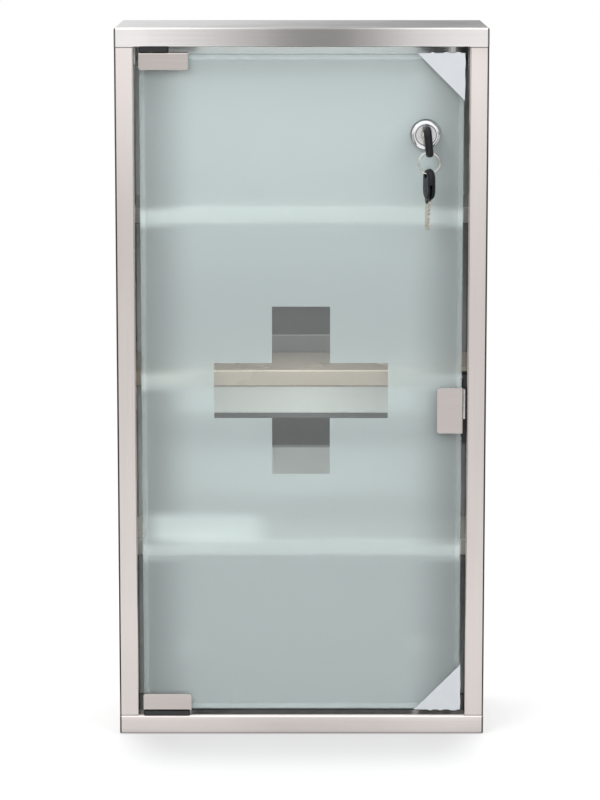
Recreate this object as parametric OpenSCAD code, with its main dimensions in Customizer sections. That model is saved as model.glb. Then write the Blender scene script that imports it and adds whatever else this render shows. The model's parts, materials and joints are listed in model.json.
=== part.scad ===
/* [Carcass] */
// Overall width of the cabinet
body_w = 305; // [240:1:420]
// Overall height of the cabinet
body_h = 590; // [540:1:760]
// Overall depth of the cabinet
body_d = 130; // [110:1:200]
// Thickness of the stainless sheet
sheet_t = 1; // [0.8:0.1:1.3]
// Outside radius of every sheet bend
bend_r = 1.5; // [1.5:0.1:2.5]
// Width of the two front stiles
stile_w = 16; // [14:0.5:26]
// Depth that each stile folds back into the cabinet
stile_return = 26; // [22:0.5:30]
// Height of the top and bottom front flanges
flange_h = 15.5; // [13:0.5:24]
// Depth of the lip behind the top and bottom front flanges
lip_d = 18; // [14:0.5:24]
// Width of the flange that each side folds behind the back panel
rear_flange = 12.5; // [9:0.5:12.5]
// Open seam between a side and a cap
seam_gap = 0.2; // [0.1:0.05:0.5]
// Height of the lap tab that ties a side to a cap
tab_h = 10; // [5:0.5:11]
// How far each lap tab stops short of the front and of the rear
tab_inset = 12; // [5:0.5:25]
// Clearance round the back panel
panel_fit = 0.6; // [0.6:0.1:1.5]

/* [Wall fixing] */
// Distance between the wall holes across the back
wall_hole_x = 200; // [100:1:220]
// Distance from the wall holes to the top and bottom of the cabinet
wall_hole_inset = 45; // [30:1:80]
// Radius of the wall holes
wall_hole_r = 3; // [2:0.25:5]

/* [Rivets] */
// Shank radius of the rivets that hold the back panel
rivet_r = 1.6; // [1.2:0.1:2]
// Head radius of the back panel rivets
rivet_head_r = 3; // [2.5:0.1:4]
// Height of a back panel rivet head
rivet_head_h = 0.8; // [0.5:0.1:1.2]
// Distance between the rivets along the top and bottom
rivet_pitch_x = 95; // [60:1:110]

/* [Shelves] */
// Distance from the top of the cabinet to the upper shelf
upper_shelf_drop = 149; // [140:1:170]
// Distance from the top of the cabinet to the middle shelf
middle_shelf_drop = 285; // [240:1:320]
// Distance from the top of the cabinet to the lower shelf
lower_shelf_drop = 429; // [390:1:460]
// Distance from the front of the cabinet to the shelf lips
shelf_setback = 27; // [27:0.5:40]
// Height of the lip along the front of a shelf
shelf_lip = 14; // [10:0.5:18]
// Depth of the hem under a shelf lip
shelf_hem = 6; // [4:0.5:9]
// Height of the flange along the rear of a shelf
shelf_rear = 9; // [5:0.5:9.5]
// Clearance at each end of a shelf
shelf_end_fit = 1.5; // [1.5:0.1:2.5]
// Clearance between a shelf and the back panel
shelf_rear_fit = 0.5; // [0.3:0.1:2]
// Radius of the studs that carry the shelves
stud_r = 2.5; // [2:0.1:3]
// How far a stud reaches under its shelf
stud_reach = 10; // [7:0.5:14]
// Radius of the collar on a stud
stud_collar_r = 4; // [3.5:0.1:5]
// Thickness of the collar on a stud
stud_collar_t = 1.1; // [0.8:0.1:1.2]
// Distance from a shelf's front and rear edges to its studs
stud_inset = 16; // [12:0.5:24]

/* [Glass door] */
// Gap between the glass and each stile
door_side_gap = 4.25; // [4:0.25:6]
// Gap between the glass and the top and bottom flanges
door_end_gap = 5.8; // [5:0.1:8]
// How far the glass lies behind the front of the cabinet
door_inset = 1.8; // [1.5:0.1:3]
// Thickness of the glass
glass_t = 4; // [3:0.5:5]
// Bevel along the glass edges
glass_bevel = 0.5; // [0.2:0.1:1]

/* [Door hinges] */
// Length of a hinge clamp
clamp_len = 40.2; // [34:0.2:46]
// Height of a hinge clamp
clamp_h = 14.3; // [11:0.1:18]
// Thickness of the front plate and fold of a clamp
clamp_t = 1; // [0.8:0.1:1.2]
// Thickness of the rear plate of a clamp
clamp_back_t = 2.5; // [2:0.1:3]
// Radius of the free corners of a clamp
clamp_corner_r = 2; // [1:0.25:3]
// How far a clamp stands past the side edge of the glass
clamp_over = 0.3; // [0.1:0.1:0.6]
// Thickness of the rubber pad between clamp and glass
pad_t = 0.4; // [0.3:0.1:0.6]
// How far a pad stops short of the edges of its clamp
pad_inset = 1.2; // [0.5:0.1:2]
// Radius of the clamp screws
clamp_screw_r = 2; // [1.5:0.1:2.5]
// Distance from the clamp's hinge end to its first screw
clamp_screw_start = 17; // [15:0.5:19]
// Distance between the two screws of a clamp
clamp_screw_pitch = 14; // [10:0.5:15]
// How far a clamp screw stands behind its plate
clamp_screw_proud = 1; // [0.5:0.1:2]
// Distance from the side edge of the glass to the hinge axis
hinge_inset = 10; // [9:0.25:11]
// Radius of the pivot pins
pivot_r = 1.7; // [1.4:0.1:1.8]
// Running clearance of the pivot pins in their bushes
pivot_fit = 0.05; // [0.03:0.01:0.08]
// Outside radius of the bush sleeve through the lip
bush_r = 2.6; // [2.4:0.1:2.6]
// How far the bush sleeve stands through the lip
bush_proud = 1.5; // [1:0.1:3]
// Length of the upper bush block
upper_bush_len = 24; // [18:0.5:36]
// Length of the lower bush block
lower_bush_len = 38.5; // [20:0.5:39]
// Depth of a bush block
bush_d = 7.4; // [6:0.1:7.4]
// Gap between a clamp and its bush block
bush_gap = 0.3; // [0.2:0.05:0.5]

/* [Magnetic catch] */
// Distance from the top of the cabinet to the middle of the catch
catch_drop = 315; // [310:1:330]
// Height of the base flange of the catch
catch_base_h = 58.6; // [50:0.1:64]
// Thickness of the base flange of the catch
catch_base_t = 3; // [2:0.1:4]
// Height of the housing of the catch
catch_h = 41; // [38:0.5:44]
// How far the housing stands out from the stile
catch_w = 15.5; // [13:0.5:18]
// Radius of the housing corners
catch_corner_r = 1.5; // [0.5:0.1:2.5]
// Height of the pole plates
pole_h = 25; // [20:0.5:27]
// How far the pole plates sit above the middle of the catch
pole_rise = 4.5; // [0:0.1:5]
// Thickness of a pole plate
pole_t = 1.5; // [1:0.1:2]
// Wall of the housing beside the pole plates
pole_wall = 1; // [0.8:0.1:1.5]
// How far the pole plates stand in front of the housing
pole_proud = 1; // [0.5:0.1:1.5]
// Depth of the pole plates
pole_d = 13; // [8:0.5:14]
// Gap between the pole plates and the striker
pole_gap = 0.3; // [0.3:0.05:0.6]
// How far the magnet lies behind the edges of the pole plates
magnet_recess = 0.8; // [0.5:0.1:1.5]
// Shank radius of the catch screws
catch_screw_r = 1.5; // [1.2:0.1:1.8]
// Head radius of the catch screws
catch_screw_head_r = 2.8; // [2.5:0.1:3.2]
// Head height of the catch screws
catch_screw_head_h = 1.6; // [1:0.1:2]
// Distance between the catch screws
catch_screw_pitch = 50; // [49:0.5:51.5]

/* [Striker] */
// Width of the striker plate on the glass
striker_w = 21.6; // [16:0.2:26]
// Height of the striker
striker_h = 38; // [30:0.5:46]
// Thickness of the striker sheet
striker_t = 1; // [0.8:0.1:1.2]
// Radius of the striker corners
striker_corner_r = 2; // [1:0.25:3]
// Thickness of the liner between striker and glass
liner_t = 0.4; // [0.3:0.1:0.5]
// How far the liner stops short of the striker's edges
liner_inset = 0.8; // [0.5:0.1:2]

/* [Corner guards] */
// Length of a corner guard along the glass edges
guard_leg = 38.5; // [28:0.5:46]
// Thickness of the corner guard sheet
guard_t = 0.6; // [0.5:0.1:0.8]
// Gap between a corner guard and the glass
guard_gap = 0.1; // [0.1:0.05:0.3]

/* [Lock] */
// Distance from the lock axis to the side edge of the glass
lock_inset = 30.9; // [28:0.1:34]
// Distance from the top of the cabinet to the lock axis
lock_drop = 86.9; // [80:0.1:88]
// Radius of the bezel
bezel_r = 12; // [11.5:0.1:13]
// Height of the bezel
bezel_h = 3.4; // [3:0.1:4]
// Radius of the rounded shoulder of the bezel
bezel_round = 2.4; // [1.5:0.1:2.4]
// Radius of the barrel
barrel_r = 9.5; // [9:0.1:10]
// Width across the flats of the barrel
barrel_flats = 16.5; // [15.5:0.1:17.5]
// Clearance of the barrel in the glass
barrel_fit = 0.15; // [0.1:0.05:0.4]
// Thickness of the gasket behind the bezel
gasket_t = 0.5; // [0.3:0.1:1]
// Thickness of the lock washer
washer_t = 1; // [0.8:0.1:1.5]
// Radius of the lock washer
washer_r = 12.5; // [11.8:0.1:13.5]
// Height of the lock nut
nut_h = 5; // [4:0.1:7]
// Width across the flats of the lock nut
nut_flats = 22; // [21.5:0.1:24]
// Radius of the plug face
plug_face_r = 8.8; // [8.2:0.1:8.9]
// Thickness of the plug face
plug_face_t = 1.6; // [1.2:0.1:2]
// Width of the step round the plug face
face_step_w = 0.6; // [0.3:0.1:0.8]
// Depth of the step round the plug face
face_step_d = 1; // [0.5:0.1:1.1]
// How far the plug face lies inside the bezel
plug_recess = 0.3; // [0.2:0.1:0.6]
// Radius of the plug
plug_r = 6.2; // [5.6:0.1:6.6]
// Running clearance of the plug
plug_fit = 0.05; // [0.03:0.01:0.08]
// Width of the square tail of the plug
tail_w = 7; // [6.4:0.1:7.6]
// Width of the cam
cam_w = 12; // [11:0.25:14]
// Thickness of the cam
cam_t = 1.6; // [1.2:0.1:2]
// How far the cam reaches past the stile's return when locked
cam_hook = 7; // [4:0.5:8]
// Gap between the locked cam and the return's rear edge
cam_gap = 0.5; // [0.3:0.1:1]
// Shank radius of the cam screw
cam_screw_r = 1.5; // [1.2:0.1:1.8]
// Head radius of the cam screw
cam_screw_head_r = 4.6; // [4.2:0.1:5.5]
// Head height of the cam screw
cam_screw_head_h = 1.8; // [1.2:0.1:2.5]
// Depth of the cam screw in the plug
cam_screw_depth = 6; // [4:0.5:7]
// Angle that the plug stands at from its upright index, key in
key_turn = 6; // [0:1:8]

/* [Keys] */
// Thickness of the key blades
key_t = 1.8; // [1.5:0.1:2]
// Width of the key blades
key_w = 7; // [6:0.1:7.6]
// Width of the shoulders of the key blades
key_shoulder = 9; // [8.2:0.1:9.2]
// Length of a blade in front of its shoulders
key_len = 21.5; // [16:0.5:22]
// Distance from the shoulders to the fold rivet
key_neck = 11; // [10.5:0.25:14]
// Clearance round a blade in its keyway
key_fit = 0.12; // [0.08:0.01:0.2]
// Distance between the bit cuts
bit_pitch = 3; // [2.6:0.1:3.1]
// Depths of the bit cuts from the tip
bit_depths = [0.9, 1.5, 0.6, 1.3, 0.8];
// Width of the floor of a bit cut
bit_floor = 1; // [0.6:0.1:1.4]
// Length of a key head
head_len = 25.5; // [24:0.5:30]
// Radius of the round ends of a key head
head_r = 8; // [7.6:0.1:8.4]
// Thickness of a key head
head_t = 6.4; // [5.6:0.1:7]
// Thickness of the thinner cheek of a key head, beside the steel
head_cheek = 1; // [0.8:0.1:1.6]
// Rounding along the edges of a key head
head_round = 2.6; // [1:0.1:2.8]
// Side clearance of the steel in a key head
head_fit = 0.2; // [0.15:0.05:0.3]
// Radius of the round steel end at the fold rivet
knuckle_r = 4.6; // [4.2:0.1:4.8]
// Shank radius of the fold rivets
fold_rivet_r = 1.5; // [1.2:0.1:1.8]
// Head radius of the fold rivets
fold_rivet_head_r = 2.8; // [2.2:0.1:3]
// Head height of the fold rivets
fold_rivet_head_h = 0.8; // [0.4:0.1:0.9]
// Running clearance of the fold rivets
fold_fit = 0.06; // [0.03:0.01:0.1]
// Width of the moulded collar across a blade
collar_w = 12.6; // [10.5:0.1:13]
// How far a collar stands past the thinner cheek of its head
collar_side = 0.5; // [0:0.1:1]
// Gap between a collar and the key head that turns beside it
collar_gap = 0.3; // [0.3:0.05:0.6]
// Radius of the ring hole in a key head
loop_r = 2.6; // [2.6:0.1:3]
// Distance from the end of a key head to its ring hole
loop_inset = 5; // [4.6:0.1:5.6]
// Clearance where the ring hangs in a hole
loop_gap = 0.3; // [0.2:0.05:0.35]
// Radius of the key ring at the middle of its wire
ring_r = 8.8; // [8.6:0.05:10]
// Thickness of the key ring wire
ring_wire = 1; // [0.8:0.05:1]
// Angle that the spare key is turned on the ring
spare_yaw = 18; // [0:1:24]

/* [Hidden] */
$fn = 64;

// Overlap of cutting tools past the faces they cut
past = 1;
// Clearance between fixed pieces that pass through each other
fixed_fit = 0.05;
// Front and rear of the cabinet
front_y = -body_d / 2;
back_y = body_d / 2;
// Half width of the front opening and inner face of the side walls
open_x = body_w / 2 - stile_w;
wall_x = body_w / 2 - sheet_t;
// Glass edges
glass_x = open_x - door_side_gap;
glass_z0 = flange_h + door_end_gap;
glass_z1 = body_h - glass_z0;
glass_y0 = front_y + door_inset;
glass_y1 = glass_y0 + glass_t;
// Hinge axis
hinge_x = -glass_x + hinge_inset;
hinge_y = glass_y0 + glass_t / 2;
// Hinge clamps, given for the lower hinge
clamp_x0 = -glass_x - clamp_over;
clamp_y0 = glass_y0 - pad_t - clamp_t;
clamp_d = clamp_t + glass_t + 2 * pad_t + clamp_back_t;
clamp_z0 = glass_z0 - pad_t - clamp_t;
// Shelves
upper_shelf_z = body_h - upper_shelf_drop;
middle_shelf_z = body_h - middle_shelf_drop;
lower_shelf_z = body_h - lower_shelf_drop;
shelf_zs = [upper_shelf_z, middle_shelf_z, lower_shelf_z];
shelf_y0 = front_y + shelf_setback;
shelf_y1 = back_y - 2 * sheet_t - shelf_rear_fit;
shelf_x = wall_x - shelf_end_fit;
stud_ys = [shelf_y0 + stud_inset, shelf_y1 - stud_inset];
// Heights of the side rivets of the back panel
rivet_zs = [
    lower_shelf_z / 2, (lower_shelf_z + middle_shelf_z) / 2,
    (middle_shelf_z + upper_shelf_z) / 2, (upper_shelf_z + body_h) / 2
];
// Striker
striker_x1 = glass_x + liner_t + striker_t;
striker_x0 = striker_x1 - striker_w;
striker_y0 = glass_y0 - liner_t - striker_t;
striker_y1 = glass_y1 + liner_t + striker_t;
// Magnetic catch
catch_z = body_h - catch_drop;
pole_z = catch_z + pole_rise;
pole_y0 = striker_y1 + pole_gap;
catch_y0 = pole_y0 + pole_proud;
catch_y1 = front_y + stile_return - sheet_t / 2;
catch_screw_y = (catch_y0 + catch_y1) / 2;
catch_screw_zs = [catch_z - catch_screw_pitch / 2, catch_z + catch_screw_pitch / 2];
pole_x1 = open_x - pole_wall;
pole_x0 = open_x - catch_w + pole_wall + pole_t;
// Lock
lock_x = glass_x - lock_inset;
lock_z = body_h - lock_drop;
bezel_y0 = glass_y0 - gasket_t - bezel_h;
plug_y0 = bezel_y0 + plug_recess;
cam_y0 = front_y + stile_return + cam_gap;
barrel_y1 = cam_y0 - fixed_fit;
cam_len = lock_inset + door_side_gap + sheet_t + cam_hook;
// Keys
shoulder_y = plug_y0 - fixed_fit;
fold_y = shoulder_y - key_neck;
head_x0 = -key_t / 2 - head_fit - head_cheek;
head_mid = head_x0 + head_t / 2;
head_drop = head_len - 2 * head_r;
loop_z = -(head_len - head_r - loop_inset);
ring_drop = ring_r - sqrt(ring_r * ring_r - head_t * head_t / 4);
// Where the wire hangs in the hole of the leaning head
loop_x = lock_x + head_mid * cos(key_turn) - loop_z * sin(key_turn);
loop_low = lock_z + head_mid * sin(key_turn) + loop_z * cos(key_turn) - loop_r;
wire_z = loop_low + ring_wire / 2 + ring_drop + head_t / 2 * sin(key_turn) + loop_gap;
ring_z = wire_z - ring_r;
// Where the spare key hangs on the wire
spare_reach = head_t / 2 * sin(spare_yaw) + ring_wire / 2;
spare_chord = sqrt(loop_r * loop_r - spare_reach * spare_reach);
spare_loop_z = ring_z - ring_r + ring_wire / 2 + ring_drop + loop_gap - spare_chord;
spare_z = spare_loop_z + loop_z;

// Extrudes a shape drawn in Y and Z from x0 to x1
module along_x(x0, x1) {
    translate([x0, 0, 0]) rotate([90, 0, 90]) linear_extrude(x1 - x0) children();
}

// Extrudes a shape drawn in X and Z from y0 to y1
module along_y(y0, y1) {
    translate([0, y1, 0]) rotate([90, 0, 0]) linear_extrude(y1 - y0) children();
}

// Extrudes a shape drawn in X and Y from z0 to z1
module along_z(z0, z1) {
    translate([0, 0, z0]) linear_extrude(z1 - z0) children();
}

// Round bar along X, Y or Z
module bar_x(x0, x1, r) {
    along_x(x0, x1) circle(r);
}

module bar_y(y0, y1, r) {
    along_y(y0, y1) circle(r);
}

module bar_z(z0, z1, r) {
    along_z(z0, z1) circle(r);
}

// Rectangle with its two lower corners rounded
module soft_base(w, h, r) {
    translate([r, 0]) square([w - 2 * r, h]);
    translate([0, r]) square([w, h - r]);
    translate([r, r]) circle(r);
    translate([w - r, r]) circle(r);
}

// Rectangle with four rounded corners
module soft_rect(w, h, r) {
    translate([r, 0]) square([w - 2 * r, h]);
    translate([0, r]) square([w, h - 2 * r]);
    for (x = [r, w - r]) for (y = [r, h - r]) translate([x, y]) circle(r);
}

// Two sheet legs that meet in a round bend at the origin
module fold(leg_x, leg_y, t, r) {
    difference() {
        bend(leg_x, leg_y, r);
        translate([t, t]) bend(leg_x, leg_y, r - t);
    }
}

// Solid rectangle with the corner at the origin rounded
module bend(w, h, r) {
    translate([r, 0]) square([w - r, h]);
    translate([0, r]) square([w, h - r]);
    translate([r, r]) circle(r);
}

// Low dome on a round foot, its axis along Z
module dome(r, h) {
    ball = (r * r + h * h) / (2 * h);
    rotate_extrude() intersection() {
        translate([0, h - ball]) circle(ball);
        square([r, h]);
    }
}

// Slab with two round ends and soft edges: first end at the origin, the second one below
module pill(t, r, drop, soft) {
    for (flip = [0, 1]) translate([0, 0, -flip * drop]) mirror([0, 0, flip])
        rotate([90, 0, 90]) rotate_extrude(angle = 180) intersection() {
            translate([-r, 0]) soft_rect(2 * r, t, soft);
            square([r, t]);
        }
    along_z(-drop, 0) translate([0, -r]) soft_rect(t, 2 * r, soft);
}

// Places the lower form of a piece at the top of the cabinet
module at_top() {
    translate([0, 0, body_h]) mirror([0, 0, 1]) children();
}

// Block with rounded lower edges, open work for a folded cap
module pan(w, d, h, r) {
    intersection() {
        along_x(-w / 2, w / 2) translate([-d / 2, 0]) soft_base(d, h, r);
        along_y(-d / 2, d / 2) translate([-w / 2, 0]) soft_base(w, h, r);
    }
}

// Cap in its lower position: plate, four skirts and the lip behind the front flange
module cap() {
    difference() {
        union() {
            difference() {
                pan(body_w, body_d, flange_h, bend_r);
                translate([0, 0, sheet_t])
                    pan(body_w - 2 * sheet_t, body_d - 2 * sheet_t, flange_h, bend_r - sheet_t);
                along_x(-open_x, open_x) translate([front_y - past, flange_h - bend_r])
                    square([past + sheet_t, bend_r + past]);
            }
            along_x(-open_x, open_x) translate([front_y, flange_h]) mirror([0, 1])
                fold(lip_d, bend_r + sheet_t, sheet_t, bend_r);
        }
        translate([hinge_x, hinge_y, 0])
            bar_z(flange_h - 2 * sheet_t, flange_h + past, bush_r + fixed_fit);
        cap_rivets() bar_y(back_y - 2 * sheet_t, back_y + past, rivet_r + fixed_fit);
    }
}

// Rivet places along the rear skirt of the lower cap
module cap_rivets() {
    for (x = [-rivet_pitch_x, 0, rivet_pitch_x]) translate([x, 0, flange_h / 2]) children();
}

// Rivet places along the rear flange of the left side, one behind each compartment
module side_rivets() {
    for (z = rivet_zs)
        translate([-body_w / 2 + (rear_flange + sheet_t) / 2, 0, z]) children();
}

// Stud places on the left wall
module left_studs() {
    for (z = shelf_zs) for (y = stud_ys)
        translate([-wall_x, y, z - sheet_t - stud_r - fixed_fit]) children();
}

// Side in plan, its outer front corner at the origin
module side_section() {
    difference() {
        soft_rect(stile_w, body_d, bend_r);
        translate([sheet_t, sheet_t])
            soft_rect(stile_w - 2 * sheet_t, body_d - 2 * sheet_t, bend_r - sheet_t);
        translate([rear_flange, stile_return]) square([stile_w, body_d]);
    }
}

// Left side: wall, stile, return and rear flange, with a lap tab at each end
module side() {
    z0 = flange_h + seam_gap;
    difference() {
        union() {
            along_z(z0, body_h - z0) translate([-body_w / 2, front_y]) side_section();
            for (flip = [0, 1]) translate([0, 0, flip * body_h]) mirror([0, 0, flip])
                translate([-wall_x, front_y + tab_inset, flange_h - tab_h])
                    cube([sheet_t, body_d - 2 * tab_inset, tab_h + tab_h / 2]);
        }
        left_studs() bar_x(-sheet_t - past, past + sheet_t, rivet_r + fixed_fit);
        side_rivets() bar_y(back_y - 2 * sheet_t, back_y + past, rivet_r + fixed_fit);
    }
}

module back_plate() {
    x1 = wall_x - panel_fit;
    z0 = sheet_t + panel_fit;
    difference() {
        translate([-x1, back_y - 2 * sheet_t, z0]) cube([2 * x1, sheet_t, body_h - 2 * z0]);
        for (x = [-wall_hole_x / 2, wall_hole_x / 2])
            for (z = [wall_hole_inset, body_h - wall_hole_inset])
                translate([x, 0, z]) bar_y(back_y - 3 * sheet_t, back_y, wall_hole_r);
        all_rivets() bar_y(back_y - 3 * sheet_t, back_y, rivet_r + fixed_fit);
    }
}

// Every rivet place of the back panel
module all_rivets() {
    cap_rivets() children();
    at_top() cap_rivets() children();
    side_rivets() children();
    mirror([1, 0, 0]) side_rivets() children();
}

module back_rivet() {
    bar_y(back_y - 2 * sheet_t, back_y, rivet_r);
    translate([0, back_y - 2 * sheet_t, 0]) rotate([90, 0, 0]) dome(rivet_head_r, rivet_head_h);
}

// Shelf in section, its front top edge at the height of the shelf
module shelf_section() {
    d = shelf_y1 - shelf_y0;
    difference() {
        soft_rect(d, shelf_lip, bend_r);
        translate([sheet_t, sheet_t])
            soft_rect(d - 2 * sheet_t, shelf_lip - 2 * sheet_t, bend_r - sheet_t);
        translate([shelf_hem, -past]) square([d, sheet_t + past]);
        translate([d / 2, -past]) square([d, shelf_lip - shelf_rear + past]);
    }
}

module shelf(z) {
    along_x(-shelf_x, shelf_x) translate([shelf_y0, z - shelf_lip]) shelf_section();
}

// Stud on the left wall: flush shank, collar and pin
module stud() {
    bar_x(-sheet_t, 0, rivet_r);
    bar_x(0, stud_collar_t, stud_collar_r);
    bar_x(stud_collar_t, stud_reach, stud_r);
}

// Bush in its lower position: block on the lip, sleeve through it and the bore of the pivot
module bush(len) {
    z1 = clamp_z0 - bush_gap;
    difference() {
        union() {
            along_z(flange_h, z1) translate([-glass_x, hinge_y - bush_d / 2])
                soft_rect(len, bush_d, bend_r);
            translate([hinge_x, hinge_y, 0])
                bar_z(flange_h - sheet_t - bush_proud, flange_h, bush_r);
        }
        translate([hinge_x, hinge_y, 0])
            bar_z(flange_h - sheet_t - bush_proud - past, z1 + past, pivot_r + pivot_fit);
    }
}

// Clamp in section, its lower front corner at the origin
module clamp_section() {
    difference() {
        soft_base(clamp_d, clamp_h, bend_r);
        translate([clamp_t, clamp_t]) square([glass_t + 2 * pad_t, clamp_h]);
    }
}

// Clamp in its lower position
module clamp() {
    difference() {
        intersection() {
            along_x(clamp_x0, clamp_x0 + clamp_len) translate([clamp_y0, clamp_z0])
                clamp_section();
            along_y(clamp_y0, clamp_y0 + clamp_d)
                translate([clamp_x0, clamp_z0 + clamp_h]) mirror([0, 1])
                    soft_base(clamp_len, clamp_h, clamp_corner_r);
        }
        translate([hinge_x, hinge_y, 0])
            bar_z(clamp_z0 - past, clamp_z0 + clamp_t + past, pivot_r + fixed_fit);
        clamp_screw_places()
            bar_y(clamp_y0 + clamp_d - clamp_back_t - pad_t, clamp_y0 + clamp_d + past,
                clamp_screw_r + fixed_fit);
    }
}

module clamp_screw_places() {
    for (n = [0, 1])
        translate([clamp_x0 + clamp_screw_start + n * clamp_screw_pitch, 0, clamp_z0 + clamp_h / 2])
            children();
}

// Rubber pad in its lower position, folded round the glass edge
module pad() {
    difference() {
        translate([-glass_x + pad_inset, glass_y0 - pad_t, glass_z0 - pad_t])
            cube([clamp_len - 2 * pad_inset, glass_t + 2 * pad_t, clamp_h - clamp_t - pad_inset]);
        translate([-glass_x, glass_y0, glass_z0]) cube([clamp_len, glass_t, clamp_h]);
    }
}

// Pivot pin in its lower position
module pivot() {
    translate([hinge_x, hinge_y, 0])
        bar_z(flange_h - sheet_t - bush_proud, clamp_z0 + clamp_t, pivot_r);
}

// Slotted screw behind the clamp, in its lower position
module clamp_screw() {
    y0 = clamp_y0 + clamp_d - clamp_back_t;
    y1 = clamp_y0 + clamp_d + clamp_screw_proud;
    difference() {
        bar_y(y0, y1, clamp_screw_r);
        translate([-clamp_screw_r - past, y1 - clamp_screw_proud / 2, -clamp_screw_r / 8])
            cube([2 * (clamp_screw_r + past), past, clamp_screw_r / 4]);
    }
}

// Glass pane with bevelled edges and the hole for the lock
module pane() {
    b = glass_bevel;
    difference() {
        intersection() {
            translate([-glass_x, glass_y0, glass_z0])
                cube([2 * glass_x, glass_t, glass_z1 - glass_z0]);
            along_z(glass_z0, glass_z1) bevelled(-glass_x, glass_y0, 2 * glass_x, glass_t, b);
            along_x(-glass_x, glass_x)
                bevelled(glass_y0, glass_z0, glass_t, glass_z1 - glass_z0, b);
        }
        translate([lock_x, 0, lock_z])
            bar_y(glass_y0 - past, glass_y1 + past, barrel_r + barrel_fit);
    }
}

// Rectangle with its four corners cut off
module bevelled(x, y, w, h, b) {
    polygon([
        [x + b, y], [x + w - b, y], [x + w, y + b], [x + w, y + h - b],
        [x + w - b, y + h], [x + b, y + h], [x, y + h - b], [x, y + b]
    ]);
}

// Channel folded round the right edge of the glass
module edge_channel(x0, x1, y0, y1, t, r) {
    difference() {
        translate([x1, y0]) rotate(90) soft_base(y1 - y0, x1 - x0, r);
        translate([x0 - past, y0 + t]) square([x1 - x0 + past - t, y1 - y0 - 2 * t]);
    }
}

module striker() {
    z0 = catch_z - striker_h / 2;
    intersection() {
        along_z(z0, z0 + striker_h)
            edge_channel(striker_x0, striker_x1, striker_y0, striker_y1, striker_t, striker_t);
        along_y(striker_y0, striker_y1) translate([striker_x0, z0])
            translate([0, striker_h]) rotate(-90)
                soft_base(striker_h, striker_w, striker_corner_r);
    }
}

module liner() {
    z0 = catch_z - striker_h / 2 + liner_inset;
    along_z(z0, z0 + striker_h - 2 * liner_inset)
        edge_channel(striker_x0 + liner_inset, glass_x + liner_t,
            glass_y0 - liner_t, glass_y1 + liner_t, liner_t, liner_t / 2);
}

// Guard on the lower right corner of the glass: a folded triangle, open along its slant
module guard() {
    wrap = guard_t + guard_gap;
    difference() {
        along_y(glass_y0 - wrap, glass_y1 + wrap) polygon([
            [glass_x + wrap, glass_z0 - wrap],
            [glass_x + wrap, glass_z0 - wrap + guard_leg],
            [glass_x + wrap - guard_leg, glass_z0 - wrap]
        ]);
        translate([glass_x + guard_gap - 2 * guard_leg, glass_y0 - guard_gap, glass_z0 - guard_gap])
            cube([2 * guard_leg, glass_t + 2 * guard_gap, 2 * guard_leg]);
    }
}

// Housing of the catch: base flange on the return, body with the pocket for the poles
module housing() {
    difference() {
        union() {
            along_x(open_x - catch_base_t, open_x)
                translate([catch_y0, catch_z - catch_base_h / 2])
                    soft_rect(catch_y1 - catch_y0, catch_base_h, catch_corner_r);
            along_z(catch_z - catch_h / 2, catch_z + catch_h / 2)
                translate([open_x - catch_w, catch_y1]) rotate(-90)
                    soft_base(catch_y1 - catch_y0, catch_w, catch_corner_r);
        }
        translate([pole_x0 - pole_t - fixed_fit, catch_y0 - past, pole_z - pole_h / 2 - fixed_fit])
            cube([pole_x1 - pole_x0 + pole_t + 2 * fixed_fit,
                pole_d - pole_proud + past + fixed_fit, pole_h + 2 * fixed_fit]);
        catch_screw_places() bar_x(-catch_base_t - past, past, catch_screw_r + fixed_fit);
    }
}

module catch_screw_places() {
    for (z = catch_screw_zs) translate([open_x, catch_screw_y, z]) children();
}

module poles() {
    for (x = [pole_x0 - pole_t, pole_x1 - pole_t])
        translate([x, pole_y0, pole_z - pole_h / 2]) cube([pole_t, pole_d, pole_h]);
}

module magnet() {
    m = magnet_recess;
    translate([pole_x0, pole_y0 + m, pole_z - pole_h / 2 + m])
        cube([pole_x1 - pole_t - pole_x0, pole_d - m, pole_h - 2 * m]);
}

// Pan head screw through the catch flange and the return
module catch_screw() {
    bar_x(-catch_base_t, sheet_t + past, catch_screw_r);
    translate([-catch_base_t, 0, 0]) rotate([0, -90, 0]) difference() {
        dome(catch_screw_head_r, catch_screw_head_h);
        for (a = [0, 90]) rotate(a) translate([-catch_screw_r, -0.3, catch_screw_head_h / 2])
            cube([2 * catch_screw_r, 0.6, catch_screw_head_h]);
    }
}

module at_lock() {
    translate([lock_x, 0, lock_z]) children();
}

// The lock axis turned to where the plug stands
module at_plug() {
    at_lock() rotate([0, -key_turn, 0]) children();
}

// Bezel in section: radius across, height in front of the gasket upwards
module bezel_section() {
    translate([plug_face_r, 0]) square([bezel_r - bezel_round - plug_face_r, bezel_h]);
    translate([plug_r, 0]) square([bezel_r - plug_r, bezel_h - bezel_round]);
    translate([bezel_r - bezel_round, bezel_h - bezel_round]) intersection() {
        circle(bezel_round);
        square(bezel_round);
    }
}

module flatted_barrel(grow) {
    intersection() {
        circle(barrel_r + grow);
        square([barrel_flats + 2 * grow, 4 * barrel_r], center = true);
    }
}

module body_of_lock() {
    difference() {
        union() {
            translate([0, glass_y0 - gasket_t, 0]) rotate([90, 0, 0]) rotate_extrude() bezel_section();
            along_y(glass_y0 - gasket_t, barrel_y1) flatted_barrel(0);
        }
        bar_y(bezel_y0 - past, plug_y0 + plug_face_t + plug_fit, plug_face_r + plug_fit);
        bar_y(bezel_y0, barrel_y1 + past, plug_r + plug_fit);
    }
}

module nut_of_lock() {
    y0 = glass_y1 + washer_t;
    difference() {
        along_y(y0, y0 + nut_h) circle(nut_flats / sqrt(3), $fn = 6);
        bar_y(y0 - past, y0 + nut_h + past, barrel_r + fixed_fit);
    }
}

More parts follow.
